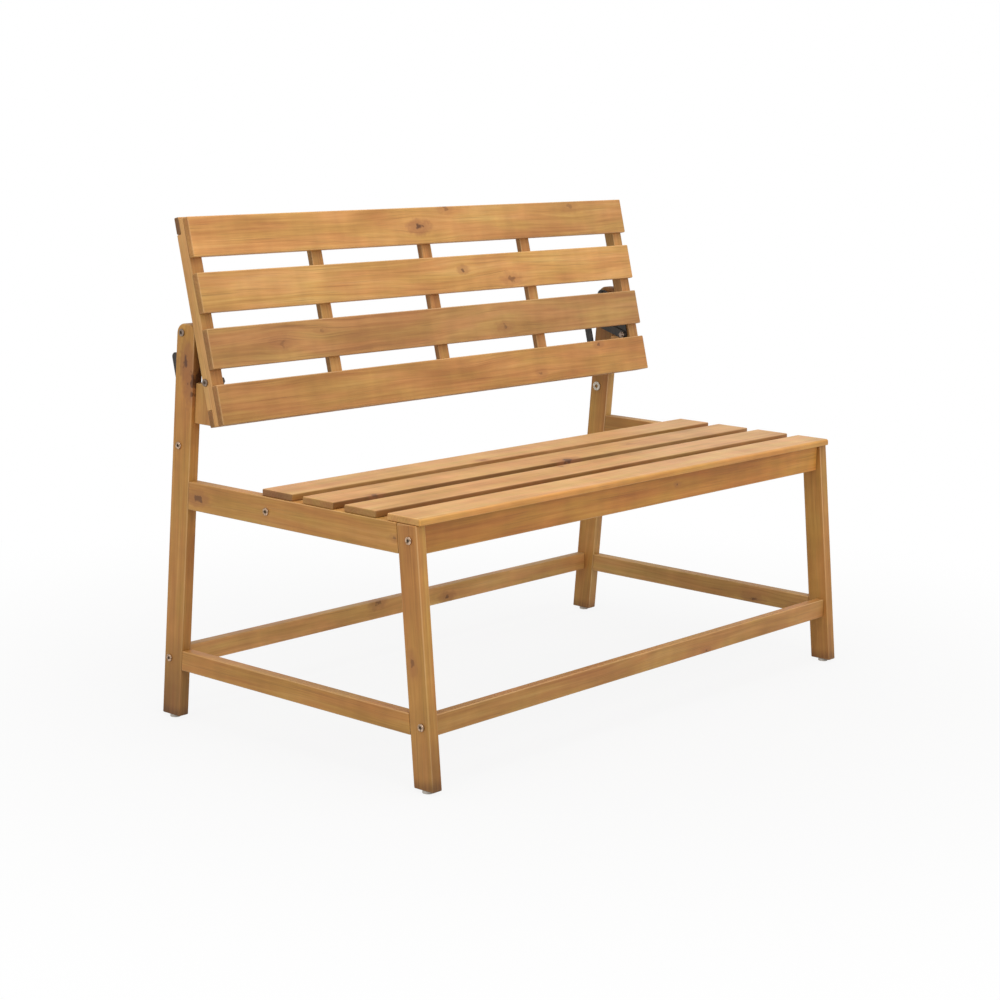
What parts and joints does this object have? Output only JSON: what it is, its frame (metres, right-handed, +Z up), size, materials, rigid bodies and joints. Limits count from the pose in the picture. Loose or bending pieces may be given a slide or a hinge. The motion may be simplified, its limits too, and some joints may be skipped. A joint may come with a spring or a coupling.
{
  "type": "convertible garden bench",
  "caption": "Slatted wooden balcony bench whose tall slatted back swings over its rear posts on steel stays to become a level table.",
  "frame": {"origin": "on the floor under the middle of the bench", "axes": "+Z up, +X along the bench to the right as seen from the front, +Y to the rear"},
  "size_m": [1.105, 0.6077, 0.8214],
  "materials": {
    "frame_wood": "oiled",
    "seat_wood": "oiled",
    "back_wood": "oiled",
    "black_steel": "satin",
    "zinc_bolts": "zinc plated",
    "grey_glides": "matte"
  },
  "bodies": {
    "frame": {"rear_post_left": "frame_wood", "rear_post_right": "frame_wood", "front_leg_left": "frame_wood", "front_leg_right": "frame_wood", "side_rail_left": "frame_wood", "side_rail_right": "frame_wood", "side_stretcher_left": "frame_wood", "side_stretcher_right": "frame_wood", "front_apron": "frame_wood", "seat_rear_rail": "frame_wood", "front_stretcher": "frame_wood", "rear_stretcher": "frame_wood", "seat_bearer_left": "frame_wood", "seat_bearer_middle": "frame_wood", "seat_bearer_right": "frame_wood", "seat_slat_1": "seat_wood", "seat_slat_2": "seat_wood", "seat_slat_3": "seat_wood", "seat_slat_4": "seat_wood", "front_apron_bolt_left": "zinc_bolts", "front_apron_bolt_right": "zinc_bolts", "seat_rear_rail_bolt_left": "zinc_bolts", "seat_rear_rail_bolt_right": "zinc_bolts", "front_stretcher_bolt_left": "zinc_bolts", "front_stretcher_bolt_right": "zinc_bolts", "rear_stretcher_bolt_left": "zinc_bolts", "rear_stretcher_bolt_right": "zinc_bolts", "sleeve_bolt_left": "zinc_bolts", "sleeve_bolt_right": "zinc_bolts", "pivot_bolt_left": "black_steel", "pivot_bolt_right": "black_steel", "stay_screw_left": "black_steel", "stay_screw_right": "black_steel", "foot_glide_front_left": "grey_glides", "foot_glide_front_right": "grey_glides", "foot_glide_rear_left": "grey_glides", "foot_glide_rear_right": "grey_glides"},
    "back_panel": {"back_slat_1": "back_wood", "back_slat_2": "back_wood", "back_slat_3": "back_wood", "back_slat_4": "back_wood", "back_top_rail": "back_wood", "back_bottom_rail": "back_wood", "back_batten_left": "back_wood", "back_batten_right": "back_wood", "back_batten_middle_1": "back_wood", "back_batten_middle_2": "back_wood", "back_batten_middle_3": "back_wood", "stop_block_left": "back_wood", "stop_block_right": "back_wood", "hinge_plate_left": "black_steel", "hinge_plate_right": "black_steel", "stay_bolt_left": "zinc_bolts", "stay_bolt_right": "zinc_bolts", "plate_bolt_left": "zinc_bolts", "plate_bolt_right": "zinc_bolts"},
    "stay_upper_left": {"stay_upper_left": "black_steel"},
    "stay_upper_right": {"stay_upper_right": "black_steel"},
    "stay_lower_left": {"stay_lower_left": "black_steel"},
    "stay_lower_right": {"stay_lower_right": "black_steel"}
  },
  "joints": [
    {"name": "back_hinge", "type": "hinge", "parent": "frame", "child": "back_panel", "pos_m": [0, 0.24865, 0.6384], "axis": [1, 0, 0], "range_deg": [-75.53, 0]},
    {"name": "stay_upper_left_hinge", "type": "hinge", "parent": "back_panel", "child": "stay_upper_left", "pos_m": [-0.5204, 0.19145, 0.56445], "axis": [1, 0, 0], "range_deg": [-3.71, 0]},
    {"name": "stay_lower_left_hinge", "type": "hinge", "parent": "frame", "child": "stay_lower_left", "pos_m": [-0.5277, 0.26198, 0.486], "axis": [1, 0, 0], "range_deg": [0, 41.82]},
    {"name": "stay_upper_right_hinge", "type": "hinge", "parent": "back_panel", "child": "stay_upper_right", "pos_m": [0.5204, 0.19145, 0.56445], "axis": [1, 0, 0], "range_deg": [-3.71, 0]},
    {"name": "stay_lower_right_hinge", "type": "hinge", "parent": "frame", "child": "stay_lower_right", "pos_m": [0.5277, 0.26198, 0.486], "axis": [1, 0, 0], "range_deg": [0, 41.82]}
  ],
  "couplings": [
    {"joint": "stay_upper_left_hinge", "follows": "back_hinge", "ratio": 0.04902},
    {"joint": "stay_lower_left_hinge", "follows": "back_hinge", "ratio": -0.55359},
    {"joint": "stay_upper_right_hinge", "follows": "back_hinge", "ratio": 0.04902},
    {"joint": "stay_lower_right_hinge", "follows": "back_hinge", "ratio": -0.55359}
  ]
}
